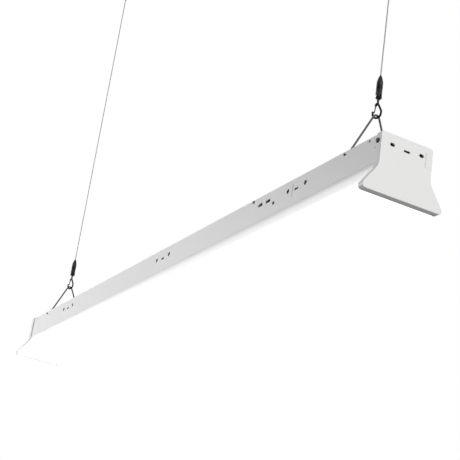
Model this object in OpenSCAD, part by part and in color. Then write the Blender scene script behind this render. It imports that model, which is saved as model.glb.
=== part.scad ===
// Hanging wraparound shop light on two steel cables with cable grippers and snap hooks.
// The origin lies on the ceiling, midway between the two ceiling brackets. +X runs to the end that has
// the switches, +Y to the plain long side and +Z up, so the light hangs below the origin.
// Heights in the light and its hangers are counted from the top of the end caps, z = -drop.

/* [Light] */
// Overall length over the end caps
light_l = 1200; // [1000:10:1300]
// Height of the end caps
cap_h = 82; // [78:0.5:90]
// Width of the end caps at the top
cap_top_w = 78; // [75:0.5:82]
// Width of the end caps at the foot
cap_foot_w = 118; // [114:0.5:122]
// Angle of the flared sides from the vertical
flare_angle = 34.8; // [32:0.1:38]
// Radius of the hollow bend where the sides start to flare
flare_r = 20; // [12:1:24]
// Height of the upright lip below the flare
lip_h = 7; // [6.8:0.1:8]
// Radius of the bend from the flare into the lip
lip_r = 5; // [4:0.1:5.5]
// Radius of the bottom corners
corner_r = 5; // [4:0.1:5.2]
// Radius of the top corners
top_r = 2.5; // [2.4:0.1:4]

/* [End caps] */
// Depth of the cap's rim along the light
rim_depth = 10; // [8.5:0.5:12]
// Thickness of the cap's face
cap_face_t = 2.4; // [1.5:0.1:4]
// How far the cap stands proud of the housing and the lens
cap_proud = 1.5; // [1.2:0.1:1.6]
// Clearance between the cap's rim and what it holds
cap_gap = 0.3; // [0.2:0.05:0.4]
// Length of the screw ear beyond the rim
ear_l = 5; // [4:0.5:10]
// Height of the screw ear
ear_h = 15; // [10:0.5:18]
// Depth of the cap screws below the top
cap_screw_depth = 12; // [10:0.5:16]
// Distance of the cap screws from the cap's face
cap_screw_inset = 7; // [6.5:0.5:8.5]
// Length of the oval holes in the cap's face
cap_hole_l = 7.2; // [5.5:0.1:8]
// Height of those holes
cap_hole_h = 4.7; // [3.5:0.1:5]
// Depth of those holes below the top
cap_hole_depth = 14.4; // [12:0.1:16]

/* [Housing] */
// Thickness of the housing's sheet
sheet_t = 0.8; // [0.6:0.05:0.9]
// Width of the inward flange at the bottom of each side
flange_w = 7; // [6:0.5:8]
// Height of the return lip on the flange
return_h = 5; // [4:0.5:6]
// Distance from each end of the light to its outer group of accessory holes
group_inset = 194.5; // [180:0.5:220]
// Distance between the two round holes of a group
hole_pitch = 44; // [40:0.5:50]
// Radius of the round holes of a group
hole_r = 3.3; // [2:0.1:4]
// Length of the slot between the round holes
slot_l = 9; // [7:0.5:12]
// Width of that slot
slot_w = 3; // [2.5:0.5:5]
// Depth of the round holes below the top
hole_depth = 16.2; // [14:0.1:18]
// How far the slot lies below the round holes
slot_drop = 2.1; // [0:0.1:3]
// Distance from the right-hand end to the power switch
power_inset = 290; // [280:1:300]
// Distance of the supply inlet from the middle
inlet_x = 150; // [120:5:180]
// Radius of the hole in the top for the supply inlet
inlet_r = 11; // [8:0.5:12]

/* [Lens] */
// Wall of the lens
lens_t = 1.6; // [1.2:0.1:1.8]
// Gap between the housing and the lens
seam_gap = 0.3; // [0.2:0.05:0.4]

/* [Hangers] */
// Distance from each end of the light to its hanger
hanger_inset = 76; // [60:1:120]
// Length of cable between the ceiling fork and the gripper
cable_free_l = 611.5; // [500:0.5:612]
// Radius of the cable
cable_r = 0.9; // [0.6:0.05:0.95]
// Radius of the V-hook's wire
v_wire_r = 1.4; // [1.1:0.1:1.5]
// Inside radius of the bend at the top of the V-hook
v_bend_in = 3.4; // [3.3:0.1:4]
// Height of the centre of that bend above the light
v_rise = 56.3; // [50:0.1:62]
// How far the V-hook leans outwards from its feet to its top
v_lean = 5.5; // [0:0.5:8]
// Distance from the cap's side in to the bend of the V-hook's foot
v_foot_inset = 5; // [4.25:0.25:5.5]
// Radius of the snap hook's wire
hook_wire_r = 1.45; // [1.2:0.05:1.5]
// Radius of the snap hook's bowl, along the middle of its wire
bowl_r = 5.8; // [5.6:0.1:6.4]
// Height from the middle of the bowl to the hook's pin
hook_reach = 24.7; // [24.4:0.1:27]
// Turn of the snap hook's bowl from the long axis of the light
hook_turn = 30; // [0:1:30]
// Radius of the gripper
gripper_r = 4.3; // [4.2:0.05:5]
// Length of the gripper's body
gripper_l = 31.5; // [31:0.5:36]
// Travel of the gripper's release plunger
plunger_travel = 2; // [1:0.1:2.2]

/* [Ceiling brackets] */
// Radius of the ceiling plate
plate_r = 22; // [20:0.5:26]
// Thickness of the ceiling plate
plate_t = 2.5; // [2:0.1:4]
// Distance between the two screw holes of a ceiling plate
plate_pitch = 28; // [26:0.5:32]
// Radius of those screw holes
plate_hole_r = 2.25; // [2:0.05:2.6]
// Drop from the ceiling to the sway pin
sway_drop = 14; // [12:0.5:16]
// Drop from the sway pin to the swing pin
toggle_l = 16; // [15:0.5:20]
// Radius of the sway and swing pins
pin_r = 2; // [1.5:0.05:2.2]
// Running clearance of the pins, on the radius
pin_gap = 0.05; // [0.03:0.01:0.08]

/* [Inside] */
// Clearance between the gear tray's sides and the lens rail
tray_gap = 2.2; // [1.8:0.1:3]
// Depth of the gear tray's floor below the top
tray_depth = 31.8; // [31:0.1:33]
// Distance from the end of the tray to its LED boards
board_end = 21.3; // [12:0.1:60]
// Width of one LED board
board_w = 18; // [14:0.5:18]
// Distance between two LEDs of a board
led_pitch = 23.4; // [15:0.1:40]
// Length of the driver's case
driver_l = 240; // [200:5:250]
// Width of the driver's case
driver_w = 42; // [36:1:46]
// Height of the driver's case
driver_h = 22; // [18:0.5:24]

/* [Hidden] */
$fn = 48;
arc_steps = 6;
side_gap = 0.3;
screw_gap = 0.05;

// Bell-shaped section
top_half = cap_top_w / 2;
foot_half = cap_foot_w / 2;
flare_tan = tan(flare_angle / 2);
lip_depth = cap_h - lip_h;
flare_depth = lip_depth - (foot_half - top_half) / tan(flare_angle) - flare_r * flare_tan;
wall_out = top_half - cap_proud;
wall_in = wall_out - sheet_t;
top_out = cap_proud;
top_in = cap_proud + sheet_t;
lens_in = cap_proud + lens_t;
flange_tip = wall_out - flange_w;
seam = flare_depth + seam_gap;
end_gap = 0.3;
cap_grip = cap_proud - cap_gap;
cap_screws = [[1, -1], [1, 1], [-1, 1]];
score_y = hole_pitch / 2 + 6.6;
score_z = cap_hole_depth + 4.2;
score_l = 20;
score_w = 1;
score_depth = 0.8;
body_l = light_l - 2 * (cap_face_t + end_gap);

// Lens rail: a leg inside the flange with a barb above the return lip
rail_out = flange_tip - 0.4;
rail_in = rail_out - 1.4;
barb_out = flange_tip + sheet_t + 0.3;
barb_low = flare_depth - return_h - 0.3;
barb_h = 1.3;

// Hanger heights above the light
hang_x = light_l / 2 - hanger_inset;
v_bend_r = v_bend_in + v_wire_r;
seat_gap = 0.75;
bowl_low = v_rise + v_bend_in - hook_wire_r - seat_gap;
bowl_z = bowl_low + bowl_r;
hook_pin_z = bowl_z + hook_reach;
gripper_z = hook_pin_z - 3;
gripper_top = gripper_z + gripper_l;
plunger_tip = gripper_top + 3;
swing_drop = sway_drop + toggle_l;
fork_reach = swing_drop + 24;
drop = fork_reach + cable_free_l + plunger_tip;
v_foot_depth = 6;
v_foot = top_half - v_foot_inset;
v_hole_r = v_wire_r + 0.3;
v_height = v_rise + v_foot_depth;
v_start = acos(v_bend_r / norm([v_foot, v_height])) - atan(v_height / v_foot);
v_slot_y = v_foot - (v_foot_depth - top_out) * tan(v_start);
v_slot_x = v_lean * (v_foot_depth - top_out) / v_height;
spare_hole_inset = 27.3;

// Snap hook and its gate
eye_r = 2.5;
eye_t = 1.8;
slot_gap = 0.15;
hook_pin_r = 1.2;
neck_z = gripper_z - 1;
spine_z = bowl_z + 3.6;
nose_z = bowl_z + 3.8;
gate_x = -2.4;
gate_z = bowl_z + 13.5;
gate_lug_r = 1.5;
gate_pin_r = 0.5;
gate_t = 0.9;
gate_overlap = 1.6;
gate_l = gate_z - nose_z + gate_overlap;
gate_lean = atan((bowl_r - hook_wire_r - side_gap - gate_t / 2 + gate_x) / gate_l);

// Gripper insides
neck_r = 2.05;
plunger_r = 2;
cavity_r = 3.1;
cavity_low = hook_pin_z + eye_r + 2;
cavity_top = gripper_top - 9;
ball_r = 1;
ball_z = cavity_top - 4.2;
spring_low = cavity_low + 0.3;
spring_high = ball_z - ball_r - 0.3;
spring_wire = 0.3;
spring_turns = 5;

// Toggle and fork
toggle_tx = 8;
toggle_ty = 7;
toggle_r = 5.5;
ear_t = 2.5;
fork_t = 2.5;

// The cable is straight: its heights below the ceiling, from inside the fork to inside the gripper
cable_heights = [-46, -54, -70, -100, -140, -190, -240, -290, -340, -390, -440, -490, -540, -590,
    -630, -655, -666, -678, -689];

// Selector group in the visible long side
switch_y = wall_in;
power_x = light_l / 2 - power_inset;
colour_x = power_x + 21;
window_l = 12;
window_h = 5;
slider_l = 5;
slider_travel = (window_l - slider_l) / 2 - side_gap;
selector_depth = 15;
selector_screws = [[power_x - 21, 4.4], [colour_x + 16, 22.5]];
selector_plate_t = 1.2;
switch_l = 19;
switch_t = 7.6;
wire_r = 0.8;
group_x = light_l / 2 - group_inset;
tab_slot = [group_x - 9.5, 18.5, 1, 19.5];

// Gear inside the housing
floor_in = tray_depth - sheet_t;
tray_half_w = rail_in - tray_gap;
tray_l = body_l - 16;
standoff_end = tray_l / 2 - 49.3;
standoff_x = [-standoff_end, -300, 240, standoff_end];
standoff_r = 3;
tray_screw_r = 1.5;
board_t = 1;
board_y = 13;
board_gap = 6;
board_l = tray_l / 2 - board_gap - board_end;
led_count = floor(board_l / led_pitch);
led_size = 5;
led_t = 1.2;
driver_x = -150;
terminal_x = 150;
ground_x = 200;

// ---------- Points and paths ----------

// Points on an arc, from angle a to angle b
function arc(centre, r, a, b, steps = arc_steps) = [for (i = [0:steps])
    let (t = a + (b - a) * i / steps) [centre.x + r * cos(t), centre.y + r * sin(t)]];

// The same points on the other side of the middle, in the opposite order
function mirrored(points) = [for (i = [len(points) - 1:-1:0]) [-points[i].x, points[i].y]];

// Centres of the section's four bends
top_centre = [top_half - top_r, -top_r];
flare_centre = [top_half + flare_r, -flare_depth];
lip_centre = [foot_half - lip_r, -lip_depth - lip_r * flare_tan];
corner_centre = [foot_half - corner_r, -cap_h + corner_r];

// One side of the bell below a depth, moved inwards by inset
function bell_side(inset, from_depth) = concat(
    arc(flare_centre, flare_r + inset, 180 + asin((from_depth - flare_depth) / (flare_r + inset)),
        180 + flare_angle),
    arc(lip_centre, lip_r - inset, flare_angle, 0),
    arc(corner_centre, corner_r - inset, 0, -90));

// The whole closed section, moved inwards by inset
function bell(inset) = let (half = concat(arc(top_centre, top_r - inset, 90, 0), bell_side(inset, flare_depth)))
    concat(half, mirrored(half));

// Folded channel: top, side, flange and return lip
function channel() = let (half = concat(arc(top_centre, top_r - top_out, 90, 0), [
    [wall_out, -flare_depth],
    [flange_tip, -flare_depth],
    [flange_tip, -flare_depth + return_h],
    [flange_tip + sheet_t, -flare_depth + return_h],
    [flange_tip + sheet_t, -flare_depth + sheet_t],
    [wall_in, -flare_depth + sheet_t],
    [wall_in, -top_in]])) concat(half, mirrored(half));

// Lens: outer skin, inner skin, and the rail that snaps over the flange
function lens_section() =
    let (outer = bell_side(cap_proud, seam))
    let (skin = bell_side(lens_in, seam + lens_t))
    let (inner = concat([for (i = [len(skin) - 1:-1:0]) skin[i]], [
        [rail_in, -seam - lens_t],
        [rail_in, -barb_low + barb_h],
        [rail_out, -barb_low + barb_h],
        [barb_out, -barb_low + 0.4],
        [barb_out, -barb_low],
        [rail_out, -barb_low],
        [rail_out, -seam]]))
    concat(outer, mirrored(outer), mirrored(inner), inner);

// A flat bar with a round end at distance l below its root
function tongue(w, l) = concat([[w / 2, 0]], arc([0, -l], w / 2, 0, -180, 16), [[-w / 2, 0]]);

// A path of straight runs with a round bend at each inner point
function unit(v) = v / norm(v);
function bend(a, b, c, t, steps = 4) = let (p = b + unit(a - b) * t, q = b + unit(c - b) * t)
    [for (i = [0:steps]) let (s = i / steps) (1 - s) * (1 - s) * p + 2 * s * (1 - s) * b + s * s * q];
function rounded(p, t) = concat([p[0]], [for (i = [1:len(p) - 2]) each bend(p[i - 1], p[i], p[i + 1], t)],
    [p[len(p) - 1]]);

// A round bar along a path that is never parallel to up
module sweep(path, r, up, sides = 10) {
    last = len(path) - 1;
    rings = [for (i = [0:last])
        let (t = unit(path[min(i + 1, last)] - path[max(i - 1, 0)]), n = unit(cross(t, up)), b = cross(t, n))
        for (j = [0:sides - 1]) path[i] + r * (cos(360 * j / sides) * n + sin(360 * j / sides) * b)];
    skin = [for (i = [0:last - 1], j = [0:sides - 1])
        let (a = i * sides + j, b = i * sides + (j + 1) % sides)
        each [[a, a + sides, b + sides], [a, b + sides, b]]];
    ends = [[for (j = [0:sides - 1]) j], [for (j = [sides - 1:-1:0]) last * sides + j]];
    polyhedron(rings, concat(ends, skin), convexity = 4);
}

// ---------- Placing ----------

module at_light() { translate([0, 0, -drop]) children(); }
module at_hanger(side) { translate([side * hang_x, 0, -drop]) children(); }
module at_ceiling(side) { translate([side * hang_x, 0, 0]) children(); }
module plate_x(t) { rotate([90, 0, 90]) linear_extrude(t, center = true) children(); }
module plate_y(t) { rotate([90, 0, 0]) linear_extrude(t, center = true) children(); }
module rod_x(r, l) { rotate([0, 90, 0]) cylinder(r = r, h = l, center = true); }
module rod_y(r, l) { rotate([90, 0, 0]) cylinder(r = r, h = l, center = true); }
module box(low, high) { translate(low) cube(high - low); }

// ---------- Housing, caps and lens ----------

// Two round holes with a slot between them, through a wall whose normal is Y
module accessory_holes(x) {
    translate([x, -wall_out, -hole_depth]) {
        for (dx = [-1, 1]) translate([dx * hole_pitch / 2, 0, 0]) rod_y(hole_r, 6);
        translate([0, 0, -slot_drop]) cube([slot_l, 6, slot_w], center = true);
    }
}

module housing() {
    color("gainsboro") at_light() difference() {
        plate_x(body_l) polygon(channel());
        for (x = [-group_x, 0, group_x]) accessory_holes(x);
        translate([tab_slot[0], -wall_out, -tab_slot[1]]) cube([tab_slot[2], 6, tab_slot[3]], center = true);
        for (x = [power_x, colour_x]) translate([x, -wall_out, -selector_depth]) window();
        for (s = selector_screws) translate([s.x, -wall_out, -s.y]) rod_y(tray_screw_r + screw_gap, 6);
        translate([inlet_x, 0, -top_out]) cylinder(r = inlet_r, h = 6, center = true);
        for (x = standoff_x) translate([x, 0, -top_out]) cylinder(r = tray_screw_r, h = 6, center = true);
        for (side = [-1, 1], y = [-1, 1]) {
            translate([side * (hang_x - v_lean + v_slot_x), y * v_slot_y, -top_out])
                cube([2 * v_hole_r + 0.4, 6, 6], center = true);
            translate([side * (hang_x - v_lean), y * wall_out, -v_foot_depth]) rod_y(v_hole_r, 6);
            translate([side * (light_l / 2 - spare_hole_inset), y * wall_out, -v_foot_depth])
                rod_y(v_hole_r, 6);
        }
        for (s = cap_screws)
            translate([s.x * (light_l / 2 - cap_screw_inset), s.y * wall_out, -cap_screw_depth])
                rod_y(tray_screw_r + screw_gap, 6);
    }
}

module end_cap(side) {
    face_x = light_l / 2;
    color("white") at_light() mirror([side < 0 ? 1 : 0, 0, 0]) difference() {
        union() {
            translate([face_x - rim_depth / 2, 0, 0]) plate_x(rim_depth) polygon(bell(0));
            for (s = cap_screws) if (s.x == side)
                translate([face_x - rim_depth - ear_l, s.y * (top_half - cap_grip / 2) - cap_grip / 2,
                    -cap_screw_depth - ear_h / 2]) cube([ear_l + 1, cap_grip, ear_h]);
        }
        translate([face_x - rim_depth / 2 - cap_face_t, 0, 0]) plate_x(rim_depth)
            polygon(bell(cap_grip));
        for (y = [-1, 1]) translate([face_x, y * hole_pitch / 2, -cap_hole_depth]) rotate([0, 0, 90])
            round_bar(cap_hole_l, cap_hole_h, 4 * cap_face_t);
        for (s = cap_screws) if (s.x == side)
            translate([face_x - cap_screw_inset, s.y * top_half, -cap_screw_depth])
                rod_y(tray_screw_r + screw_gap, 6);
        translate([face_x, 0, -cap_hole_depth - slot_drop])
            cube([4 * cap_face_t, slot_l, slot_w], center = true);
        // Scored line beside the holes
        translate([face_x, score_y, -score_z]) cube([2 * score_depth, score_w, score_l], center = true);
    }
}

// A pan-head screw with its head's underside at the origin and its shank along -Z
module screw(r, head_r, head_h, l) {
    cylinder(r1 = head_r, r2 = 0.75 * head_r, h = head_h);
    translate([0, 0, -l]) cylinder(r = r, h = l + head_h / 2);
}

module end_cap_screws() {
    color("dimgray") at_light() for (s = cap_screws)
        translate([s.x * (light_l / 2 - cap_screw_inset), s.y * (top_half + 0.02), -cap_screw_depth])
            rotate([-s.y * 90, 0, 0]) screw(tray_screw_r, 3.2, 1.8, 6);
}

module lens() {
    color("snow") at_light() plate_x(body_l) polygon(lens_section());
}

// ---------- Gear inside ----------

module gear_tray() {
    color("whitesmoke") at_light() difference() {
        box([-tray_l / 2, -tray_half_w, -tray_depth], [tray_l / 2, tray_half_w, -top_in - side_gap]);
        box([-body_l / 2, -tray_half_w + sheet_t, -floor_in], [body_l / 2, tray_half_w - sheet_t, 0]);
        for (x = standoff_x) translate([x, 0, -tray_depth])
            cylinder(r = tray_screw_r + screw_gap, h = 6, center = true);
        for (x = driver_screw_x()) translate([x, 0, -tray_depth])
            cylinder(r = tray_screw_r + screw_gap, h = 6, center = true);
        translate([ground_x, 0, -tray_depth]) cylinder(r = tray_screw_r + screw_gap, h = 6, center = true);
        // Notch that lets the switches' leads in
        box([power_x - 12, -tray_half_w - 1, -14], [colour_x + 12, -tray_half_w + sheet_t + 1, 0]);
    }
}

module tray_standoffs() {
    color("silver") at_light() for (x = standoff_x) translate([x, 0, -floor_in]) difference() {
        cylinder(r = standoff_r, h = floor_in - top_in);
        translate([0, 0, -1]) cylinder(r = tray_screw_r + screw_gap, h = 11);
    }
}

module tray_screws() {
    color("silver") at_light() for (x = standoff_x)
        translate([x, 0, -tray_depth - 0.02]) rotate([180, 0, 0]) screw(tray_screw_r, 2.8, 1.6, 8);
}

module led_board(x, y) {
    color("white") at_light() box([x - board_l / 2, y - board_w / 2, -tray_depth - board_t],
        [x + board_l / 2, y + board_w / 2, -tray_depth]);
}

module leds(y) {
    first = board_gap + (board_l - (led_count - 1) * led_pitch) / 2;
    color("khaki") at_light() for (side = [-1, 1], i = [0:led_count - 1])
        translate([side * (first + i * led_pitch), y, -tray_depth - board_t - led_t / 2])
            cube([led_size, led_size, led_t], center = true);
}

function driver_screw_x() = [driver_x - driver_l / 2 - 6, driver_x + driver_l / 2 + 6];

module driver_case() {
    color("silver") at_light() translate([driver_x, 0, -floor_in]) difference() {
        union() {
            box([-driver_l / 2, -driver_w / 2, 0], [driver_l / 2, driver_w / 2, driver_h - sheet_t]);
            box([-driver_l / 2 - 12, -9, 0], [driver_l / 2 + 12, 9, sheet_t]);
        }
        box([-driver_l / 2 + sheet_t, -driver_w / 2 + sheet_t, sheet_t],
            [driver_l / 2 - sheet_t, driver_w / 2 - sheet_t, driver_h]);
        for (x = driver_screw_x()) translate([x - driver_x, 0, 0])
            cylinder(r = tray_screw_r + screw_gap, h = 6, center = true);
        for (side = [-1, 1]) translate([side * driver_l / 2, 0, driver_h / 2]) rod_x(4, 4);
    }
}

module driver_lid() {
    color("silver") at_light() translate([driver_x, 0, -floor_in + driver_h - sheet_t])
        box([-driver_l / 2, -driver_w / 2, 0], [driver_l / 2, driver_w / 2, sheet_t]);
}

module driver_board() {
    half = driver_w / 2 - sheet_t - 1;
    color("darkgreen") at_light() translate([driver_x, 0, -floor_in + sheet_t]) {
        box([-driver_l / 2 + 10, -half, 2], [driver_l / 2 - 10, half, 3.6]);
        for (x = [-driver_l / 2 + 14, driver_l / 2 - 14], y = [-half + 4, half - 4])
            translate([x, y, 0]) cylinder(r = 2, h = 2);
        box([-20, -11, 3.6], [12, 11, driver_h - 4]);
        for (f = [-0.33, -0.25, 0.2, 0.31]) translate([f * driver_l, 0, 3.6])
            cylinder(r = 6, h = driver_h - 9);
    }
}

module driver_screws() {
    color("silver") at_light() for (x = driver_screw_x())
        translate([x, 0, -floor_in + sheet_t + 0.02]) screw(tray_screw_r, 2.8, 1.6, 5);
}

module terminal_block() {
    color("ivory") at_light() translate([terminal_x, 0, -floor_in]) difference() {
        box([-8, -15, 0], [8, 15, 14]);
        for (y = [-9, 0, 9]) {
            translate([0, y, 8]) cylinder(r = 2.4, h = 8);
            translate([0, y, 4.5]) rod_x(wire_r + 0.3, 20);
        }
    }
}

module ground_screw() {
    color("green") at_light() translate([ground_x, 0, -floor_in + 0.02]) screw(tray_screw_r, 4, 2.4, 4);
}

module supply_bushing() {
    color("dimgray") at_light() translate([inlet_x, 0, -top_out]) difference() {
        union() {
            translate([0, 0, 0.02]) cylinder(r = inlet_r + 2, h = 1.3);
            translate([0, 0, -5]) cylinder(r = inlet_r - 0.1, h = 5.5);
        }
        cylinder(r = 4, h = 20, center = true);
    }
}

// Leads that link the terminal block, the driver and the switches
module inner_wires() {
    case_end = driver_x + driver_l / 2 + 0.1;
    block_end = terminal_x + 4;
    low = -floor_in + 4.5;
    mid = -floor_in + driver_h / 2;
    back = -switch_y + selector_plate_t + switch_t + 0.1;
    color("black") at_light() {
        for (y = [-9, 0, 9]) sweep(rounded([[terminal_x - 4, y, low], [terminal_x - 30, y, low],
            [case_end + 60, y / 4.5, mid], [case_end, y / 4.5, mid]], 8), wire_r, [0, 1, 0], 6);
        for (i = [0, 1]) sweep(rounded([[power_x + 5 * i - 4, back, -9], [power_x + 5 * i - 4, -21 + 3 * i, -9],
            [block_end + 40, 6 * i - 9, low], [block_end + 14, 9 * i - 9, low], [block_end, 9 * i - 9, low]], 3),
            wire_r, [0, 0, 1], 6);
        sweep(rounded([[colour_x, back, -9], [colour_x, -12, -9], [block_end + 60, -6, low],
            [block_end + 14, 9, low], [block_end, 9, low]], 3), wire_r, [0, 0, 1], 6);
    }
}

// ---------- Selector ----------

// A bar along Y whose section has round ends
module round_bar(l, h, depth) {
    cube([l - h, depth, h], center = true);
    for (dx = [-1, 1]) translate([dx * (l - h) / 2, 0, 0]) rod_y(h / 2, depth);
}

module window() { round_bar(window_l, window_h, 6); }

module selector_plate() {
    color("silver") at_light() difference() {
        box([power_x - 27, -switch_y, -27], [colour_x + 22, -switch_y + selector_plate_t, -top_in - side_gap]);
        for (x = [power_x, colour_x]) translate([x, -switch_y, -selector_depth]) window();
        for (s = selector_screws) translate([s.x, -switch_y, -s.y]) rod_y(tray_screw_r + screw_gap, 6);
    }
}

module selector_screws() {
    color("dimgray") at_light() for (s = selector_screws)
        translate([s.x, -wall_out - 0.02, -s.y]) rotate([90, 0, 0]) screw(tray_screw_r, 2.2, 1.2, 3.4);
}

// The body of a slide switch behind the plate, hollow where its slider runs
module slide_switch(x) {
    face = -switch_y + selector_plate_t;
    color("black") at_light() difference() {
        box([x - switch_l / 2, face, -22], [x + switch_l / 2, face + switch_t, -7]);
        translate([x, face, -selector_depth]) cube([window_l, 2 * (switch_t - 2), window_h], center = true);
    }
}

// A switch's slider with its raised ridge
module slider(x) {
    foot = switch_t - 2 + selector_plate_t + sheet_t - side_gap;
    color("black") at_light() translate([x, -wall_out, -selector_depth]) {
        translate([0, (foot + 0.2) / 2, 0]) round_bar(slider_l, window_h - 2 * side_gap, foot - 0.2);
        for (dx = [-1.3, 0, 1.3]) translate([dx, -0.15, 0]) cube([0.7, 0.9, 2.4], center = true);
    }
}

// ---------- Hangers ----------

// One half of the V-hook, from the tip of its foot to the top of its bend
function v_point(y, z) = [v_lean * (z - v_rise) / v_height, y, z];
function v_half() =
    let (top = arc([0, v_rise], v_bend_r, v_start, 90, 8))
    let (foot = v_point(v_foot, -v_foot_depth), leg = v_point(top[0].x, top[0].y))
    concat([[foot.x, top_half + 0.3, foot.z]], bend([foot.x, top_half, foot.z], foot, leg, 2),
        [for (p = top) v_point(p.x, p.y)]);

module v_hook(side) {
    half = v_half();
    other = [for (i = [len(half) - 2:-1:0]) [half[i].x, -half[i].y, half[i].z]];
    color("dimgray") at_hanger(side) mirror([side < 0 ? 1 : 0, 0, 0])
        sweep(concat(half, other), v_wire_r, [1, 0, 0], 12);
}

// Everything of the snap hook below its eye lies in one upright plane, turned from the light's long axis
module in_hook_plane() { rotate([0, 0, hook_turn]) children(); }
module at_gate() { in_hook_plane() translate([gate_x, 0, gate_z]) children(); }

module snap_hook(side) {
    spine = rounded([[0, 0, neck_z], [0, 0, gate_z + 2.6], [bowl_r + 0.4, 0, spine_z], [bowl_r, 0, bowl_z]], 2);
    bowl = [for (a = [-15:-15:-180]) [bowl_r * cos(a), 0, bowl_z + bowl_r * sin(a)]];
    color("black") at_hanger(side) difference() {
        union() {
            in_hook_plane() sweep(concat(spine, bowl, [[-bowl_r, 0, nose_z]]), hook_wire_r, [0, 1, 0]);
            at_gate() rod_y(gate_lug_r, eye_t);
            at_gate() box([0, -eye_t / 2, -0.8], [-gate_x + 0.4, eye_t / 2, 2.6]);
            translate([0, 0, hook_pin_z]) rod_y(eye_r, eye_t);
            box([-1.4, -eye_t / 2, neck_z - 1], [1.4, eye_t / 2, hook_pin_z]);
        }
        translate([0, 0, hook_pin_z]) rod_y(hook_pin_r + pin_gap, 8);
        at_gate() rod_y(gate_pin_r + pin_gap, 8);
    }
}

module hook_gate(side) {
    ear_in = eye_t / 2 + 0.2;
    ear_out = ear_in + 0.6;
    color("black") at_hanger(side) at_gate() rotate([0, gate_lean, 0]) difference() {
        union() {
            for (y = [-1, 1]) translate([0, y * (ear_in + ear_out) / 2, 0]) {
                rod_y(1.2, ear_out - ear_in);
                translate([0, 0, -1.6]) cube([gate_t, ear_out - ear_in, 3.2], center = true);
            }
            box([-gate_t / 2, -ear_out, -3.2], [gate_t / 2, ear_out, -2.3]);
            box([-gate_t / 2, -0.8, -gate_l], [gate_t / 2, 0.8, -2.6]);
        }
        rod_y(gate_pin_r + pin_gap, 8);
    }
}

module gate_pin(side) {
    color("silver") at_hanger(side) at_gate() rod_y(gate_pin_r, eye_t + 2);
}

module hook_pin(side) {
    color("silver") at_hanger(side) translate([0, 0, hook_pin_z]) {
        rod_y(hook_pin_r, 2 * gripper_r + 0.6);
        for (y = [-1, 1]) translate([0, y * (gripper_r + 0.27), 0]) rod_y(hook_pin_r + 0.4, 0.5);
    }
}

// Half of the gripper's outline: a foot, two grip rings, a cone and the bore for the plunger
function gripper_profile() = [
    [0, gripper_z],
    [3.2, gripper_z],
    [gripper_r, gripper_z + 3],
    [gripper_r, cavity_low + 2],
    [gripper_r - 0.4, cavity_low + 2.4],
    [gripper_r - 0.4, cavity_low + 3.2],
    [gripper_r, cavity_low + 3.6],
    [gripper_r, cavity_low + 5],
    [gripper_r - 0.4, cavity_low + 5.4],
    [gripper_r - 0.4, cavity_low + 6.2],
    [gripper_r, cavity_low + 6.6],
    [gripper_r, gripper_top - 7],
    [neck_r + 0.6, gripper_top],
    [neck_r, gripper_top],
    [neck_r, cavity_top],
    [cavity_r, cavity_top],
    [cavity_r, cavity_low],
    [0, cavity_low]];

// The gripper's foot is slotted for the eye of the snap hook
module gripper_body(side) {
    eye_slot = eye_t + 2 * slot_gap;
    color("black") at_hanger(side) difference() {
        rotate_extrude() polygon(gripper_profile());
        box([-10, -eye_slot / 2, gripper_z - 1], [10, eye_slot / 2, hook_pin_z + eye_r + 0.5]);
        translate([0, 0, hook_pin_z]) rod_y(hook_pin_r + 0.02, 20);
    }
}

module gripper_plunger(side) {
    color("dimgray") at_hanger(side) rotate_extrude() polygon([[cable_r + 0.15, cavity_top - 3],
        [cavity_r - 0.3, cavity_top - 3], [cavity_r - 0.3, cavity_top - 0.3], [plunger_r, cavity_top - 0.3],
        [plunger_r, gripper_top + 0.6], [cable_r + 0.55, plunger_tip], [cable_r + 0.15, plunger_tip]]);
}

module gripper_balls(side) {
    color("silver") at_hanger(side) for (a = [0, 120, 240])
        rotate([0, 0, a]) translate([cable_r + ball_r + 0.05, 0, ball_z]) sphere(r = ball_r);
}

module gripper_spring(side) {
    coil_r = cavity_r - spring_wire - 0.3;
    steps = 12 * spring_turns;
    rise = spring_high - spring_low - 2 * spring_wire;
    color("silver") at_hanger(side) sweep([for (i = [0:steps])
        [coil_r * cos(30 * i), coil_r * sin(30 * i), spring_low + spring_wire + rise * i / steps]],
        spring_wire, [0, 0, 1], 6);
}

module cable(side) {
    color("gray") at_ceiling(side) sweep([for (z = cable_heights) [0, 0, z]], cable_r, [1, 0, 0], 8);
}

module cable_fork(side) {
    color("silver") at_ceiling(side) difference() {
        union() {
            for (y = [-1, 1]) translate([0, y * (toggle_ty / 2 + side_gap + fork_t / 2), -swing_drop - 12])
                mirror([0, 0, 1]) plate_y(fork_t) polygon(tongue(10, 12));
            box([-5, -toggle_ty / 2 - side_gap - fork_t, -swing_drop - 14],
                [5, toggle_ty / 2 + side_gap + fork_t, -swing_drop - 10]);
            translate([0, 0, -fork_reach]) cylinder(r1 = 2, r2 = 3, h = 3);
            translate([0, 0, -fork_reach + 3]) cylinder(r = 3, h = fork_reach - swing_drop - 12);
        }
        translate([0, 0, -swing_drop]) rod_y(pin_r + 0.02, 30);
        translate([0, 0, -fork_reach - 1]) cylinder(r = cable_r + 0.02, h = 10);
    }
}

// A headed pin along Y for a joint of half width w
module headed_pin(w) {
    rod_y(pin_r, 2 * w + 1);
    for (y = [-1, 1]) translate([0, y * (w + 0.62), 0]) rod_y(pin_r + 0.9, 1.2);
}

module swing_pin(side) {
    color("silver") at_ceiling(side) translate([0, 0, -swing_drop])
        headed_pin(toggle_ty / 2 + side_gap + fork_t);
}

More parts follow.
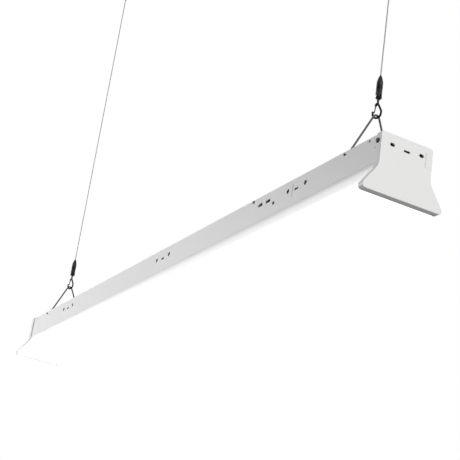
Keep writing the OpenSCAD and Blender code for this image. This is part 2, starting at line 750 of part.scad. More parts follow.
module toggle(side) {
    color("silver") at_ceiling(side) difference() {
        union() {
            translate([0, 0, -sway_drop - toggle_l / 2]) mirror([0, 0, 1])
                plate_x(toggle_tx) polygon(tongue(2 * toggle_r, toggle_l / 2));
            translate([0, 0, -sway_drop - toggle_l / 2 + 1])
                plate_y(toggle_ty) polygon(tongue(2 * toggle_r - 1, toggle_l / 2 + 1));
        }
        translate([0, 0, -sway_drop]) rod_x(pin_r + pin_gap, 20);
        translate([0, 0, -swing_drop]) rod_y(pin_r + pin_gap, 20);
    }
}

module sway_pin(side) {
    color("silver") at_ceiling(side) translate([0, 0, -sway_drop]) rotate([0, 0, 90])
        headed_pin(toggle_tx / 2 + side_gap + ear_t);
}

module ceiling_bracket(side) {
    color("silver") at_ceiling(side) difference() {
        union() {
            translate([0, 0, -plate_t]) cylinder(r = plate_r, h = plate_t);
            for (x = [-1, 1]) translate([x * (toggle_tx / 2 + side_gap + ear_t / 2), 0, -plate_t / 2])
                plate_x(ear_t) polygon(tongue(12, sway_drop - plate_t / 2));
        }
        for (y = [-1, 1]) translate([0, y * plate_pitch / 2, 0])
            cylinder(r = plate_hole_r, h = 10, center = true);
        translate([0, 0, -sway_drop]) rod_x(pin_r + 0.02, 30);
    }
}

// ---------- The part ----------

housing();
end_cap(1);  // end_cap_right
end_cap(-1);  // end_cap_left
end_cap_screws();
lens();
gear_tray();
tray_standoffs();
tray_screws();
led_board(board_gap + board_l / 2, -board_y);  // led_board_front_right
led_board(-board_gap - board_l / 2, -board_y);  // led_board_front_left
led_board(board_gap + board_l / 2, board_y);  // led_board_back_right
led_board(-board_gap - board_l / 2, board_y);  // led_board_back_left
leds(-board_y);  // leds_front
leds(board_y);  // leds_back
driver_case();
driver_lid();
driver_board();
driver_screws();
terminal_block();
ground_screw();
supply_bushing();
inner_wires();
selector_plate();
selector_screws();
slide_switch(power_x);  // power_switch
slider(power_x);  // power_slider
slide_switch(colour_x);  // colour_switch
slider(colour_x);  // colour_slider
v_hook(1);  // v_hook_right
v_hook(-1);  // v_hook_left
snap_hook(1);  // snap_hook_right
snap_hook(-1);  // snap_hook_left
hook_gate(1);  // hook_gate_right
hook_gate(-1);  // hook_gate_left
gate_pin(1);  // gate_pin_right
gate_pin(-1);  // gate_pin_left
hook_pin(1);  // hook_pin_right
hook_pin(-1);  // hook_pin_left
gripper_body(1);  // gripper_body_right
gripper_body(-1);  // gripper_body_left
gripper_plunger(1);  // gripper_plunger_right
gripper_plunger(-1);  // gripper_plunger_left
gripper_balls(1);  // gripper_balls_right
gripper_balls(-1);  // gripper_balls_left
gripper_spring(1);  // gripper_spring_right
gripper_spring(-1);  // gripper_spring_left
cable(1);  // cable_right
cable(-1);  // cable_left
cable_fork(1);  // cable_fork_right
cable_fork(-1);  // cable_fork_left
swing_pin(1);  // swing_pin_right
swing_pin(-1);  // swing_pin_left
toggle(1);  // toggle_right
toggle(-1);  // toggle_left
sway_pin(1);  // sway_pin_right
sway_pin(-1);  // sway_pin_left
ceiling_bracket(1);  // ceiling_bracket_right
ceiling_bracket(-1);  // ceiling_bracket_left
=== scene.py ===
"""Looks of a long LED shop light that hangs level from two steel cables.

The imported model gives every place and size. This script rounds and smooths the pieces that show, models the
small details that the solids leave plain, dresses every node with a procedural finish, and sets the camera,
light and floor. Lengths are in metres. The light's long axis is X, its side with the switches faces -Y, and
the ceiling is at z = 0.
"""
import logging
from abc import ABC, abstractmethod
from dataclasses import dataclass
from enum import Enum
from math import pi, radians
from typing import Any, Callable, Sequence, Union

import bpy
from mathutils import Matrix, Quaternion, Vector


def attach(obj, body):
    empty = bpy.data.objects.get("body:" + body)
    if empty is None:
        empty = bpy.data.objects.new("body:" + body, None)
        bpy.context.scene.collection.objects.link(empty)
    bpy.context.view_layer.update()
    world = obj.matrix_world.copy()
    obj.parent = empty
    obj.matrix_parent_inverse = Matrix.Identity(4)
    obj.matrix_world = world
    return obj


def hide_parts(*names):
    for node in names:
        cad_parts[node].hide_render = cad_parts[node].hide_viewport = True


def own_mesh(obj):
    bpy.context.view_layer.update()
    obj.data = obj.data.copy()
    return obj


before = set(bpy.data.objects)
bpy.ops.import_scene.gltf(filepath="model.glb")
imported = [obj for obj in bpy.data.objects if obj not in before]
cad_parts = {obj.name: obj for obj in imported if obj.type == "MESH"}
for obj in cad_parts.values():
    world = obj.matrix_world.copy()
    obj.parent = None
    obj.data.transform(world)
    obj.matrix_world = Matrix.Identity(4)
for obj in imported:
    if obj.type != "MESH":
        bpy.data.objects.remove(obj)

LOG = logging.getLogger("shop_light")
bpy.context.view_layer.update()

Colour = tuple[float, float, float]
Point = tuple[float, float, float]
Pair = tuple[float, float]
Seat = tuple[Point, Point]
Value = Union[float, int, Sequence[float], "Sock"]

MM = 0.001
# Height of the light's top, where the ceiling is at 0
LIGHT_TOP = -0.785
# The light's own height, from its foot to its top
LIGHT_H = 82.0 * MM
# Distance of each hanger from the middle of the light
HANGER_X = 0.524


def grey(level: float) -> tuple[float, float, float, float]:
    """An opaque grey."""
    return level, level, level, 1.0


class Side(Enum):
    """The two ends of the light."""

    RIGHT = "right"
    LEFT = "left"

    def __str__(self) -> str:
        """The word that ends the names of this side's nodes and bodies."""
        return self.value

    @property
    def sign(self) -> float:
        """1 for the end at +X and -1 for the other."""
        return 1.0 if self is Side.RIGHT else -1.0


# ---------- Shader nodes ----------


@dataclass(frozen=True)
class Sock:
    """An output socket that Python's arithmetic turns into Math nodes.

    Attributes:
        net: The node tree that it belongs to.
        out: Blender's own socket.
    """

    net: "Net"
    out: bpy.types.NodeSocket

    def _math(self, operation: str, *others: Value) -> "Sock":
        """Adds a Math node that has this socket as its first input."""
        return self.net.math(operation, self, *others)

    def __add__(self, other: Value) -> "Sock":
        """This value plus another."""
        return self._math("ADD", other)

    def __radd__(self, other: float) -> "Sock":
        """A number plus this value."""
        return self.net.math("ADD", other, self)

    def __sub__(self, other: Value) -> "Sock":
        """This value less another."""
        return self._math("SUBTRACT", other)

    def __rsub__(self, other: float) -> "Sock":
        """A number less this value."""
        return self.net.math("SUBTRACT", other, self)

    def __mul__(self, other: Value) -> "Sock":
        """This value times another."""
        return self._math("MULTIPLY", other)

    def __rmul__(self, other: float) -> "Sock":
        """A number times this value."""
        return self.net.math("MULTIPLY", other, self)

    def __truediv__(self, other: Value) -> "Sock":
        """This value divided by another."""
        return self._math("DIVIDE", other)

    def sine(self) -> "Sock":
        """The sine of this value, in radians."""
        return self._math("SINE")

    def clamped(self) -> "Sock":
        """This value held between 0 and 1."""
        return self.net.node("ShaderNodeClamp", {}, {"Value": self})


class Net:
    """The node tree of one material or world."""

    def __init__(self, tree: bpy.types.NodeTree) -> None:
        """Empties the node tree that it then fills."""
        self.tree = tree
        tree.nodes.clear()

    def node(self, kind: str, settings: dict[str, Any], inputs: dict[Union[str, int], Value],
             output: Union[str, int] = 0) -> Sock:
        """Adds a node of any type.

        Args:
            kind: The node's type.
            settings: Its properties, set before its sockets. The entry "stops" fills a colour ramp.
            inputs: A value or a link for each socket, by name or by number.
            output: The output to return, by name or by number.

        Returns:
            The chosen output, or an empty socket where the node has no output.
        """
        made = self.tree.nodes.new(kind)
        for name, value in settings.items():
            if name == "stops":
                self._stops(made, value)
            else:
                setattr(made, name, value)
        for key, value in inputs.items():
            if isinstance(value, Sock):
                self.tree.links.new(value.out, made.inputs[key])
            else:
                made.inputs[key].default_value = value
        return Sock(self, made.outputs[output]) if made.outputs else Sock(self, None)

    @staticmethod
    def _stops(ramp: bpy.types.Node, stops: Sequence[tuple[float, Sequence[float]]]) -> None:
        """Fills a colour ramp.

        Args:
            ramp: The colour ramp's node.
            stops: The place and the colour of each stop.
        """
        elements = ramp.color_ramp.elements
        while len(elements) > 1:
            elements.remove(elements[-1])
        elements[0].position, elements[0].color = stops[0]
        for place, colour in stops[1:]:
            elements.new(place).color = colour

    def math(self, operation: str, *values: Value) -> Sock:
        """A Math node on one, two or three values."""
        return self.node("ShaderNodeMath", {"operation": operation}, dict(enumerate(values)))

    def place(self) -> Sock:
        """The point on the surface, in metres in the part's frame."""
        return self.node("ShaderNodeTexCoord", {}, {}, "Object")

    def normal(self) -> Sock:
        """The way that the surface faces."""
        return self.node("ShaderNodeNewGeometry", {}, {}, "Normal")

    def rays(self, *names: str) -> list[Sock]:
        """The outputs of one Light Path node, each 1 for the kind of ray that it names."""
        outputs = self.node("ShaderNodeLightPath", {}, {}).out.node.outputs
        return [Sock(self, outputs[name]) for name in names]

    def axes(self, vector: Sock) -> tuple[Sock, Sock, Sock]:
        """The X, Y and Z of a vector."""
        parts = self.node("ShaderNodeSeparateXYZ", {}, {"Vector": vector}).out.node.outputs
        return Sock(self, parts[0]), Sock(self, parts[1]), Sock(self, parts[2])

    def noise(self, scale: float, detail: float, stretch: Point = (1.0, 1.0, 1.0)) -> Sock:
        """Fractal noise from 0 to 1, of so many blotches to a metre, stretched along the axes."""
        spot = self.node("ShaderNodeMapping", {}, {"Vector": self.place(), "Scale": stretch})
        return self.node("ShaderNodeTexNoise", {}, {"Vector": spot, "Scale": scale, "Detail": detail})

    def cells(self, scale: float) -> Sock:
        """The distance to the middle of the nearest cell of a cell pattern."""
        return self.node("ShaderNodeTexVoronoi", {}, {"Vector": self.place(), "Scale": scale})

    def mix(self, factor: Sock, low: Value, high: Value) -> Sock:
        """A colour between two. They are inputs 6 and 7 of the node, and output 2 is their mixture."""
        return self.node("ShaderNodeMix", {"data_type": "RGBA"}, {0: factor, 6: low, 7: high}, 2)

    def blend(self, factor: Sock, low: Colour, high: Colour) -> Sock:
        """A colour between two opaque colours."""
        return self.mix(factor, (*low, 1.0), (*high, 1.0))

    def between(self, value: Sock, low: float, high: float) -> Sock:
        """A value from 0 to 1 spread between two others."""
        return value * (high - low) + low

    def step(self, value: Sock, start: float, end: float) -> Sock:
        """A smooth step from 0 at start to 1 at end."""
        return self.node("ShaderNodeMapRange", {"interpolation_type": "SMOOTHSTEP"},
                         {"Value": value, "From Min": start, "From Max": end})

    def bump(self, height: Sock, depth: float, strength: float) -> Sock:
        """A surface normal from a height of 0 to 1 that stands for a depth in metres."""
        return self.node("ShaderNodeBump", {}, {"Height": height, "Distance": depth, "Strength": strength})


# ---------- Finishes ----------


@dataclass(frozen=True)
class Finish(ABC):
    """What all finishes share.

    Attributes:
        name: The material's name.
        colour: Its colour, linear.
        roughness: Its mean roughness.
        metallic: 1 for bare metal.
        coat: The weight of a clear coat.
        specular: The strength of its mirror-like part, 0.5 for common plastic.
        tones: Shares of the colour where a pattern is 0 and where it is 1.
        sheen: What the roughness gains where a pattern is 0 and where it is 1.
        relief: Depth of the relief that a pattern gives.
        firmness: Strength of that relief.
    """

    name: str
    colour: Colour
    roughness: float = 0.5
    metallic: float = 0.0
    coat: float = 0.0
    specular: float = 0.5
    tones: Pair = (1.0, 1.0)
    sheen: Pair = (0.0, 0.0)
    relief: float = 0.02 * MM
    firmness: float = 0.4

    @abstractmethod
    def varied(self, net: Net) -> dict[str, Value]:
        """What changes over the surface, by the name of the shader's socket."""

    def fixed(self) -> dict[str, Value]:
        """What is the same all over the surface, by the name of the shader's socket."""
        return {"Metallic": self.metallic, "Coat Weight": self.coat, "Specular IOR Level": self.specular}

    def shade(self, factor: float) -> Colour:
        """The finish's colour made lighter or darker."""
        return tuple(min(1.0, part * factor) for part in self.colour)

    def tint(self, net: Net, pattern: Sock) -> Sock:
        """The colour, from one tone to the other over a pattern of 0 to 1."""
        first, last = self.tones
        return net.blend(pattern, self.shade(first), self.shade(last))

    def gloss(self, net: Net, pattern: Sock) -> Sock:
        """The roughness, spread over a pattern of 0 to 1."""
        first, last = self.sheen
        return net.between(pattern, self.roughness + first, self.roughness + last)

    def emboss(self, net: Net, pattern: Sock) -> Sock:
        """The surface normal of a relief, with a pattern of 0 to 1 as its height."""
        return net.bump(pattern, self.relief, self.firmness)

    def over(self, net: Net, tone: Sock, gloss: Sock, relief: Sock) -> dict[str, Value]:
        """The tones, the gloss and the relief, each over its own pattern of 0 to 1."""
        return {"Base Color": self.tint(net, tone), "Roughness": self.gloss(net, gloss),
                "Normal": self.emboss(net, relief)}

    def material(self) -> bpy.types.Material:
        """Makes the material, or finds it where it is already made.

        Returns:
            The material, with one Principled shader.
        """
        known = bpy.data.materials.get(self.name)
        if known:
            return known
        made = bpy.data.materials.new(self.name)
        made.use_nodes = True
        net = Net(made.node_tree)
        shader = net.node("ShaderNodeBsdfPrincipled", {}, {**self.fixed(), **self.varied(net)})
        net.node("ShaderNodeOutputMaterial", {}, {"Surface": shader})
        return made


@dataclass(frozen=True)
class SolderMask(Finish):
    """White lacquer on a board.

    Attributes:
        mottle: Blotches of tone to a metre.
        grain: Grains to a metre.
    """

    tones: Pair = (0.94, 1.04)
    sheen: Pair = (-0.05, 0.05)
    firmness: float = 0.5
    mottle: float = 60.0
    grain: float = 900.0

    def varied(self, net: Net) -> dict[str, Value]:
        """A mottled tone and gloss over a fine grain."""
        mottle = net.noise(self.mottle, detail=3.0)
        return self.over(net, mottle, mottle, net.noise(self.grain, detail=3.0))


@dataclass(frozen=True)
class PowderCoat(Finish):
    """Baked white paint on folded sheet, with a faint orange peel.

    Attributes:
        drift: Drifts of tone to a metre.
        peel: Dimples of the peel to a metre.
    """

    tones: Pair = (0.97, 1.02)
    sheen: Pair = (-0.06, 0.06)
    relief: float = 0.03 * MM
    firmness: float = 0.35
    drift: float = 6.0
    peel: float = 700.0

    def varied(self, net: Net) -> dict[str, Value]:
        """Slow drifts of tone, and a fine peel in gloss and relief."""
        peel = net.noise(self.peel, detail=2.0)
        return self.over(net, net.noise(self.drift, detail=2.0), peel, peel)


@dataclass(frozen=True)
class MouldedPlastic(Finish):
    """Injection-moulded plastic with a spark-eroded grain.

    Attributes:
        grain: Grains to a metre.
        flow: Flow marks to a metre.
        flow_stretch: Flow marks along each axis, as shares of that.
    """

    tones: Pair = (0.98, 1.01)
    sheen: Pair = (-0.04, 0.06)
    relief: float = 0.015 * MM
    firmness: float = 0.3
    grain: float = 1600.0
    flow: float = 14.0
    flow_stretch: Point = (1.0, 1.0, 0.35)

    def varied(self, net: Net) -> dict[str, Value]:
        """A fine grain, and faint flow marks in tone and gloss."""
        flow = net.noise(self.flow, detail=2.0, stretch=self.flow_stretch)
        return self.over(net, flow, flow, net.noise(self.grain, detail=1.0))


@dataclass(frozen=True)
class LitOpal(Finish):
    """Opal acrylic lit from inside, dimmer towards the rail that hides it from the LEDs.

    Attributes:
        glow: Strength of the light that leaves its outer side.
        rail_drop: Depth below the light's top at which the rail starts to hide it from the LEDs.
        shares: Places, from 0 at that depth to 1 at the light's foot, and the share of the glow there.
        up_share: How much a face that points up counts as an inner one.
        skin: Where a face starts to count as an outer one, and where it does so fully.
        haze: Blotches of haze to a metre.
    """

    tones: Pair = (0.99, 1.0)
    sheen: Pair = (-0.03, 0.03)
    glow: float = 1.4
    rail_drop: float = 41.0 * MM
    shares: tuple[Pair, ...] = ((0.0, 0.01), (0.04, 0.03), (0.08, 0.08), (0.13, 0.14), (0.18, 0.18),
                                 (0.24, 0.20), (0.5, 0.24), (0.75, 0.35), (0.95, 1.0))
    up_share: float = 0.5
    skin: Pair = (0.05, 0.3)
    haze: float = 9.0

    def fixed(self) -> dict[str, Value]:
        """The glow's strength, with what all finishes fix."""
        return {**super().fixed(), "Emission Strength": self.glow}

    def lit(self, net: Net, height: Sock) -> Sock:
        """The share of the glow that is left at a height.

        Args:
            net: The material's node tree.
            height: The height, as the Z of the point on the surface.

        Returns:
            The share, as a grey colour.
        """
        stops = [(place, grey(share)) for place, share in self.shares]
        below_rail = (LIGHT_TOP - self.rail_drop - height) / (LIGHT_H - self.rail_drop)
        return net.node("ShaderNodeValToRGB", {"stops": stops}, {"Fac": below_rail})

    def varied(self, net: Net) -> dict[str, Value]:
        """The glow falls away near the rail, and leaves the skin only on its outer side.

        Args:
            net: The material's node tree.

        Returns:
            A value for each of the shader's sockets that vary.
        """
        _, across, height = net.axes(net.place())
        _, out_y, up = net.axes(net.normal())
        outwards = net.step(out_y * net.math("SIGN", across) - up * self.up_share, *self.skin)
        haze = net.noise(self.haze, detail=1.0)
        return {"Base Color": self.tint(net, haze), "Roughness": self.gloss(net, haze),
                "Emission Color": net.mix(outwards, grey(0.0), self.lit(net, height))}


@dataclass(frozen=True)
class BlackOxide(Finish):
    """Blackened steel, slightly mottled, with rubbed spots that shine.

    Attributes:
        mottle: Blotches of gloss to a metre.
        rub: Blotches that may be rubbed, to a metre.
        rubbed: Where a blotch starts to be rubbed, and where it is so fully.
    """

    tones: Pair = (1.0, 2.2)
    sheen: Pair = (-0.1, 0.1)
    mottle: float = 350.0
    rub: float = 120.0
    rubbed: Pair = (0.58, 0.72)

    def varied(self, net: Net) -> dict[str, Value]:
        """Mottled black with rubbed spots."""
        mottle = net.noise(self.mottle, detail=4.0)
        return self.over(net, net.step(net.noise(self.rub, detail=5.0), *self.rubbed), mottle, mottle)


@dataclass(frozen=True)
class DrawnWire(Finish):
    """Spring steel wire with the streaks of the drawing die.

    Attributes:
        streaks: Streaks to a metre.
        streak_stretch: Streaks along each axis, as shares of that.
    """

    tones: Pair = (0.75, 1.25)
    sheen: Pair = (-0.08, 0.1)
    streaks: float = 260.0
    streak_stretch: Point = (3.0, 3.0, 0.12)

    def varied(self, net: Net) -> dict[str, Value]:
        """Streaks that run up the wire."""
        streaks = net.noise(self.streaks, detail=3.0, stretch=self.streak_stretch)
        return self.over(net, streaks, streaks, streaks)


@dataclass(frozen=True)
class ZincPlate(Finish):
    """Bright zinc plate with a soft crystal bloom.

    Attributes:
        bloom: Crystals to a metre.
        scratches: Scratches to a metre.
        scratch_stretch: Scratches along each axis, as shares of that.
    """

    tones: Pair = (0.9, 1.06)
    sheen: Pair = (-0.08, 0.1)
    relief: float = 0.01 * MM
    firmness: float = 0.3
    bloom: float = 260.0
    scratches: float = 500.0
    scratch_stretch: Point = (0.15, 1.0, 1.0)

    def varied(self, net: Net) -> dict[str, Value]:
        """A faint bloom of cells under fine scratches."""
        scratches = net.noise(self.scratches, detail=3.0, stretch=self.scratch_stretch)
        return self.over(net, net.cells(self.bloom), scratches, scratches)


@dataclass(frozen=True)
class Strands(Finish):
    """A steel rope of twisted strands round one upright line, with painted shade in its grooves and painted
    highlights on its crests.

    Attributes:
        centre_x: Where the rope hangs.
        strands: Strands in the outer layer.
        pitch: Length of one full turn of a strand.
    """

    # Painted shade and highlight: the colour falls to 0.45 of itself in the grooves between strands and rises
    # to 1.15 on their crests.
    tones: Pair = (0.45, 1.15)
    sheen: Pair = (0.15, 0.0)
    relief: float = 0.12 * MM
    firmness: float = 0.8
    centre_x: float = 0.0
    strands: int = 6
    pitch: float = 11.0 * MM

    def varied(self, net: Net) -> dict[str, Value]:
        """Helical ridges that follow the angle round the rope and the height along it, in relief, gloss, and
        painted shade and highlights.

        Args:
            net: The material's node tree.

        Returns:
            A value for each of the shader's sockets that vary.
        """
        x, y, z = net.axes(net.place())
        angle = net.math("ARCTAN2", y, x - self.centre_x)
        ridge = (angle * self.strands + z * (2 * pi / self.pitch * self.strands)).sine() * 0.5 + 0.5
        # The ridges give the relief and the gloss, and darken the colour in the grooves as painted shade and
        # lighten it on the crests as a painted highlight.
        return self.over(net, ridge, ridge, ridge)


@dataclass(frozen=True)
class CircuitCard(Finish):
    """A lacquered circuit board with faint tracks under the lacquer.

    Attributes:
        track: The colour over a track.
        along: Radians of the track pattern to a metre along the board.
        across: Radians of it to a metre across the board.
        edge: Where a track starts, and where it is full.
    """

    sheen: Pair = (0.0, 0.1)
    relief: float = 0.03 * MM
    firmness: float = 0.5
    track: Colour = (0.1, 0.4, 0.2)
    along: float = 900.0
    across: float = 1400.0
    edge: Pair = (0.35, 0.5)

    def varied(self, net: Net) -> dict[str, Value]:
        """Tracks as small pads along and across the board.

        Args:
            net: The material's node tree.

        Returns:
            A value for each of the shader's sockets that vary.
        """
        x, y, _ = net.axes(net.place())
        tracks = net.step((x * self.along).sine() * (y * self.across).sine(), *self.edge)
        return {"Base Color": net.blend(tracks, self.colour, self.track),
                "Roughness": self.gloss(net, tracks), "Normal": self.emboss(net, tracks)}


@dataclass(frozen=True)
class PhosphorChip(Finish):
    """White LED packages with a yellow phosphor face that points down.

    Attributes:
        case: The colour of the package's sides.
        facing: The normal's Z at which the phosphor starts, and at which it is full.
    """

    sheen: Pair = (-0.1, 0.0)
    case: Colour = (0.85, 0.85, 0.83)
    facing: Pair = (-0.7, -0.9)

    def varied(self, net: Net) -> dict[str, Value]:
        """Yellow where the chip faces down and white on its sides.

        Args:
            net: The material's node tree.

        Returns:
            A value for each of the shader's sockets that vary.
        """
        _, _, up = net.axes(net.normal())
        face = net.step(up, *self.facing)
        return {"Base Color": net.blend(face, self.case, self.colour), "Roughness": self.gloss(net, face)}


class Tone(Enum):
    """The finishes of the light, one for each kind of surface."""

    SHEET = PowderCoat("white powder coat", (0.80, 0.80, 0.805), roughness=0.42)
    CAP = MouldedPlastic("white cap plastic", (0.80, 0.80, 0.795), roughness=0.40)
    OPAL = LitOpal("lit opal acrylic", (0.88, 0.88, 0.875), roughness=0.35)
    SCREW = BlackOxide("blackened screw steel", (0.035, 0.035, 0.037), roughness=0.42, metallic=0.6)
    PLATE_SCREW = BlackOxide("grey screw steel", (0.07, 0.07, 0.072), roughness=0.4, metallic=0.6)
    HOOK = BlackOxide("black hook enamel", (0.006, 0.006, 0.007), roughness=0.45, specular=0.2)
    GRIPPER = BlackOxide("black gripper plate", (0.008, 0.008, 0.009), roughness=0.36, specular=0.25)
    WIRE = DrawnWire("dark spring wire", (0.06, 0.06, 0.062), roughness=0.42, metallic=0.6)
    ZINC = ZincPlate("bright zinc plate", (0.62, 0.63, 0.64), roughness=0.34, metallic=0.9)
    ROPE_RIGHT = Strands("steel rope right", (0.34, 0.34, 0.35), roughness=0.34, metallic=0.8,
                         centre_x=HANGER_X)
    ROPE_LEFT = Strands("steel rope left", (0.34, 0.34, 0.35), roughness=0.34, metallic=0.8,
                        centre_x=-HANGER_X)
    BOARD = SolderMask("white solder mask", (0.84, 0.85, 0.82), roughness=0.4)
    CARD = CircuitCard("green circuit board", (0.03, 0.2, 0.08), roughness=0.3, coat=0.4)
    LED = PhosphorChip("yellow phosphor", (0.85, 0.62, 0.12), roughness=0.5)
    PALE = MouldedPlastic("pale terminal plastic", (0.72, 0.70, 0.62), roughness=0.45)
    GREEN = BlackOxide("green earth screw", (0.02, 0.22, 0.05), roughness=0.35, metallic=0.4)
    BLACK = MouldedPlastic("black switch plastic", (0.02, 0.02, 0.021), roughness=0.5)
    LEAD = MouldedPlastic("wire insulation", (0.03, 0.03, 0.032), roughness=0.4)

    def dress(self, piece: bpy.types.Object) -> None:
        """Gives a piece this finish all over."""
        piece.data.materials.clear()
        piece.data.materials.append(self.value.material())


# ---------- Modelling ----------


class Bench:
    """Operators on one piece at a time, with everything else deselected."""

    @staticmethod
    def clear() -> None:
        """Deselects everything."""
        bpy.ops.object.select_all(action="DESELECT")
        bpy.context.view_layer.objects.active = None

    @classmethod
    def hold(cls, piece: bpy.types.Object) -> None:
        """Selects one piece alone and makes it active.

        Args:
            piece: The piece to work on.
        """
        cls.clear()
        piece.select_set(True)
        bpy.context.view_layer.objects.active = piece

    @classmethod
    def named(cls, name: str) -> bpy.types.Object:
        """Names the primitive that was just added.

        Args:
            name: The piece's name.

        Returns:
            The piece, with its place moved into its mesh.
        """
        piece = bpy.context.active_object
        piece.name = name
        cls.hold(piece)
        bpy.ops.object.transform_apply(location=True, rotation=True, scale=True)
        return piece

    @staticmethod
    def copied(source: bpy.types.Object, name: str) -> bpy.types.Object:
        """Copies a piece.

        Args:
            source: The piece to copy.
            name: The copy's name.

        Returns:
            The copy, with its own mesh.
        """
        piece = bpy.data.objects.new(name, source.data.copy())
        bpy.context.scene.collection.objects.link(piece)
        return piece

    @classmethod
    def open_whole(cls, piece: bpy.types.Object) -> None:
        """Opens a piece for editing with all of it selected.

        Args:
            piece: The piece to edit.
        """
        cls.hold(piece)
        bpy.context.tool_settings.mesh_select_mode = (True, False, False)
        bpy.ops.object.mode_set(mode="EDIT")
        bpy.ops.mesh.select_all(action="SELECT")

    @classmethod
    def open_edges(cls, piece: bpy.types.Object, test: Callable[[Sequence[Vector]], bool]) -> None:
        """Opens a piece for editing with some of its edges selected.

        Args:
            piece: The piece to edit.
            test: Takes an edge's two ends, and says whether the edge is selected.
        """
        cls.hold(piece)
        mesh = piece.data
        for items in (mesh.vertices, mesh.edges, mesh.polygons):
            items.foreach_set("select", [False] * len(items))
        for edge in mesh.edges:
            edge.select = test([mesh.vertices[i].co for i in edge.vertices])
        bpy.context.tool_settings.mesh_select_mode = (False, True, False)
        bpy.ops.object.mode_set(mode="EDIT")

    @staticmethod
    def close() -> None:
        """Leaves edit mode."""
        bpy.ops.object.mode_set(mode="OBJECT")

    @classmethod
    def apply(cls, piece: bpy.types.Object, kind: str, **settings: Any) -> None:
        """Adds a modifier and applies it.

        Args:
            piece: The piece to change.
            kind: The modifier's type.
            settings: The modifier's properties.
        """
        cls.hold(piece)
        modifier = piece.modifiers.new(kind.title(), kind)
        for name, value in settings.items():
            setattr(modifier, name, value)
        bpy.ops.object.modifier_apply(modifier=modifier.name)

    @classmethod
    def round_edges(cls, piece: bpy.types.Object, width: float, angle: float, **settings: Any) -> None:
        """Rounds the edges of a piece that are sharper than an angle in degrees, in two steps."""
        cls.apply(piece, "BEVEL", width=width, segments=2, limit_method="ANGLE", angle_limit=radians(angle),
                  use_clamp_overlap=True, **settings)

    @classmethod
    def joined(cls, *pieces: bpy.types.Object) -> bpy.types.Object:
        """Joins pieces into one.

        Args:
            pieces: The pieces to join.

        Returns:
            The first of them, which then holds them all.
        """
        cls.hold(pieces[0])
        for piece in pieces[1:]:
            piece.select_set(True)
        bpy.ops.object.join()
        return pieces[0]

    @classmethod
    def smooth(cls, piece: bpy.types.Object, angle: float) -> None:
        """Shades a piece smooth except where its faces meet at more than an angle in degrees."""
        cls.hold(piece)
        bpy.ops.object.shade_smooth_by_angle(angle=radians(angle))

    @classmethod
    def rounded_copy(cls, node: str, name: str, width: float = 0.0, angle: float = 60.0) -> bpy.types.Object:
        """Copies a node's solid, joins its loose triangles and rounds its edges.

        Args:
            node: The CAD node to copy.
            name: The new piece's name.
            width: Width of the rounding, or 0 to leave the edges as they are.
            angle: Edges sharper than this many degrees are rounded and stay crisp.

        Returns:
            The new piece.
        """
        piece = cls.copied(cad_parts[node], name)
        cls.open_whole(piece)
        bpy.ops.mesh.remove_doubles(threshold=0.002 * MM)
        bpy.ops.mesh.dissolve_limited(angle_limit=radians(0.5))
        cls.close()
        if width > 0:
            cls.round_edges(piece, width, angle, miter_outer="MITER_ARC")
        cls.smooth(piece, angle)
        return piece


class Stand:
    """Puts finished pieces in place of the nodes they stand for, or dresses the nodes themselves."""

    @staticmethod
    def for_nodes(piece: bpy.types.Object, tone: Tone, body: str, *nodes: str) -> None:
        """Dresses a piece, rides it on its body and hides the nodes it stands for.

        Args:
            piece: The finished piece.
            tone: Its finish.
            body: The body that it moves with.
            nodes: The CAD nodes that it replaces.
        """
        tone.dress(piece)
        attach(piece, body)
        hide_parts(*nodes)
        LOG.info("%s stands for %s", piece.name, ", ".join(nodes))

    @staticmethod
    def dress(tone: Tone, *nodes: str) -> None:
        """Gives a finish to nodes whose own shape shows.

        Args:
            tone: The finish.
            nodes: The CAD nodes to dress.
        """
        for node in nodes:
            tone.dress(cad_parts[node])
            LOG.info("%s dressed", node)


# ---------- Sub-assemblies ----------


@dataclass(frozen=True)
class Rounding:
    """How a piece of each hanger is rounded and dressed.

    Attributes:
        node: Its node's name, before the side.
        body: The body that it moves with, with {side} in place of the side.
        tone: Its finish.
        width: Width of the rounding.
        angle: Edges sharper than this many degrees are rounded.
    """

    node: str
    body: str
    tone: Tone
    width: float
    angle: float


